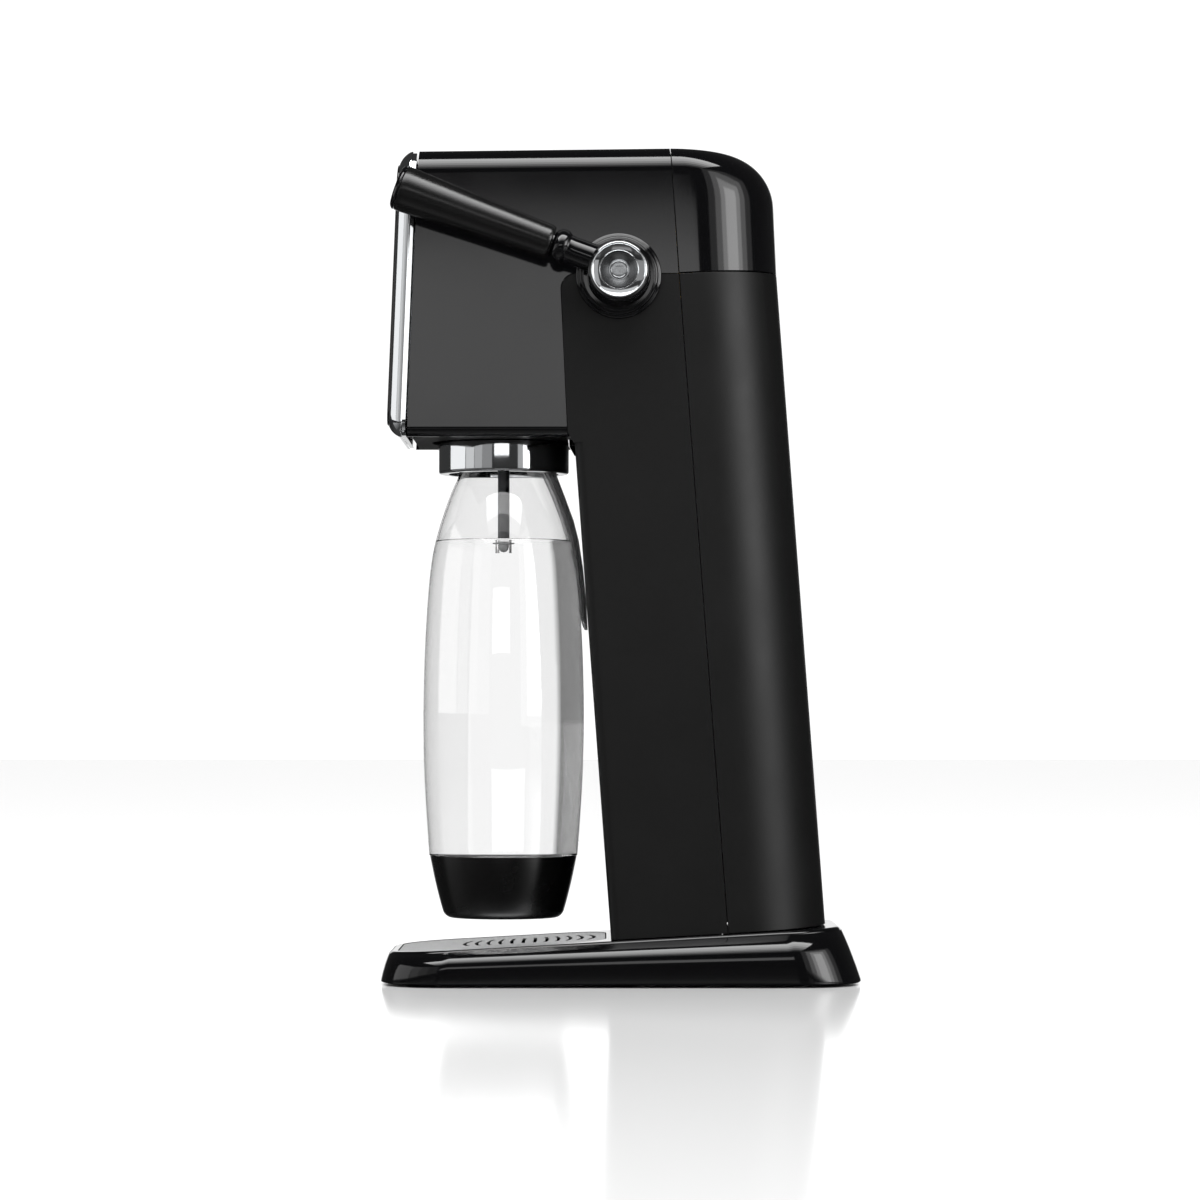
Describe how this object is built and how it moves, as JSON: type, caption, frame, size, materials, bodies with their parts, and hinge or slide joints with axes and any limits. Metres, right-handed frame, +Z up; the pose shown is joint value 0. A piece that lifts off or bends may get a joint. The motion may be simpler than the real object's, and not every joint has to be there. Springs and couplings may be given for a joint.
{
  "type": "soda carbonator",
  "caption": "Manual soda carbonator with a side lever, leaning column holding a gas cylinder, swinging bottle carriage, clear bottle and drip tray.",
  "frame": {"origin": "centre of the base footprint, on the plane that the machine rests on, at the lower face of the middle foot strip", "axes": "+Z up; the front of the machine (bottle, front panel) faces -Y; the lever is on the +X side"},
  "size_m": [0.1568, 0.248, 0.4307],
  "materials": {
    "gloss_black": "high-gloss black moulding",
    "satin_black": "fine satin black moulding",
    "soft_black": "matt black moulding",
    "rubber_black": "moulded rubber",
    "hose_black": "extruded hose",
    "chrome": "polished chrome plating",
    "steel": "machined steel",
    "satin_steel": "satin stainless steel",
    "brass": "turned brass",
    "cylinder_paint": "powder coat",
    "nylon": "glass-filled nylon",
    "clear_plastic": "clear blown PET",
    "silicone": "grey silicone"
  },
  "bodies": {
    "body": {"base_housing": "gloss_black", "base_bottom_plate": "soft_black", "foot_strip_front": "rubber_black", "foot_strip_middle": "rubber_black", "foot_strip_rear": "rubber_black", "bottom_screw_1": "steel", "bottom_screw_2": "steel", "bottom_screw_3": "steel", "bottom_screw_4": "steel", "column_shell": "satin_black", "rear_cap": "gloss_black", "head_shell": "gloss_black", "head_bottom_cover": "soft_black", "head_bezel": "chrome", "front_panel": "gloss_black", "chassis": "nylon", "lever_pedestal": "gloss_black", "shaft_bush_right": "brass", "shaft_bush_left": "brass", "lever_return_spring": "steel", "gas_cylinder": "cylinder_paint", "cylinder_valve": "brass", "valve_block": "brass", "plunger_spring": "steel", "relief_valve": "steel", "cylinder_cradle": "nylon", "gas_hose": "hose_black", "swing_pin": "steel"},
    "lever": {"lever_arm": "gloss_black", "lever_grip": "gloss_black", "grip_end_cap": "gloss_black", "hub_cap": "chrome", "hub_screw": "steel", "lever_shaft": "steel", "lever_cam": "nylon", "retaining_ring": "steel"},
    "plunger": {"valve_plunger": "steel"},
    "carriage": {"hose_swivel": "brass", "feed_pipe": "steel", "carriage_body": "soft_black", "collar_ring": "chrome", "bottle_seal": "silicone", "nozzle_tube": "soft_black", "nozzle_tip": "silicone", "bottle_guide": "satin_steel"},
    "bottle": {"bottle_body": "clear_plastic", "bottle_base_cup": "soft_black"},
    "drip_tray": {"drip_plate": "satin_steel", "drip_basin": "soft_black"},
    "rear_cover": {"rear_cover": "satin_black"},
    "release_button": {"cover_button": "soft_black"}
  },
  "joints": [
    {"name": "lever_press", "type": "hinge", "parent": "body", "child": "lever", "pos_m": [0, -0.0013, 0.3634], "axis": [1, 0, 0], "range_deg": [0, 50], "stiffness_Nm_per_rad": 0.15, "springref_deg": -34.38, "deforming": ["lever_return_spring"]},
    {"name": "valve_push", "type": "slide", "parent": "body", "child": "plunger", "axis": [0, 0.9973, 0.0735], "range_m": [0, 0.0041], "deforming": ["plunger_spring"]},
    {"name": "carriage_swing", "type": "hinge", "parent": "body", "child": "carriage", "pos_m": [0, -0.02, 0.287], "axis": [-1, 0, 0], "range_deg": [0, 14]},
    {"name": "bottle_release", "type": "slide", "parent": "carriage", "child": "bottle", "axis": [0, 0, -1], "range_m": [0, 0.005]},
    {"name": "tray_lift", "type": "slide", "parent": "body", "child": "drip_tray", "axis": [0, 0, 1], "range_m": [0, 0.005]},
    {"name": "cover_slide", "type": "slide", "parent": "body", "child": "rear_cover", "axis": [0, 0.9984, 0.0559], "range_m": [0, 0.08]},
    {"name": "cover_button_press", "type": "slide", "parent": "rear_cover", "child": "release_button", "axis": [0, -1, 0], "range_m": [0, 0.0025], "stiffness_N_per_m": 300, "springref_m": -0.002}
  ],
  "couplings": [
    {"joint": "valve_push", "follows": "lever_press", "m_per_rad": 0.00455}
  ]
}
